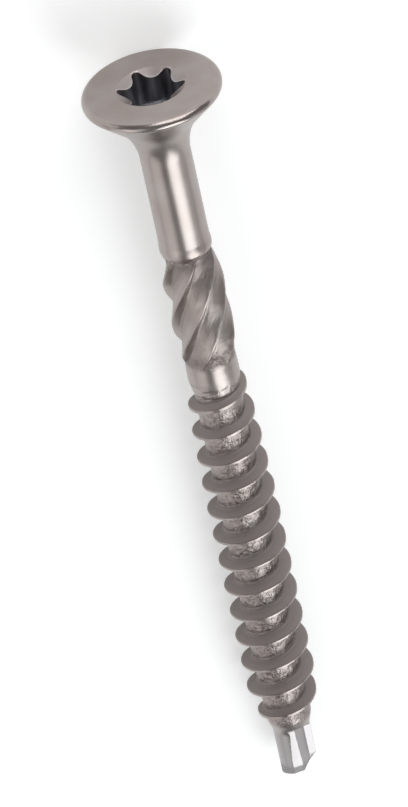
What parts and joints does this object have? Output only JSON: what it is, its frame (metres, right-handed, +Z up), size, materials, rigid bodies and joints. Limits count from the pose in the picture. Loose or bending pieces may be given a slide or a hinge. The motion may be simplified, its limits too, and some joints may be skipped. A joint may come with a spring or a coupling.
{
  "type": "construction screw",
  "caption": "Countersunk construction screw with six-lobe drive, plain shank, reaming ribs, coarse wood thread and a short fluted drill point, lying as it comes to rest.",
  "frame": {"origin": "on the floor, under the middle of the screw's bounding box as it lies at rest", "axes": "+X runs from the head to the drill point, level with the floor; +Z is up"},
  "size_m": [0.0706, 0.0116, 0.0116],
  "materials": {
    "steel": "satin stainless steel, rolled, with bright worn edges"
  },
  "bodies": {
    "root": {"screw": "steel"}
  },
  "joints": []
}
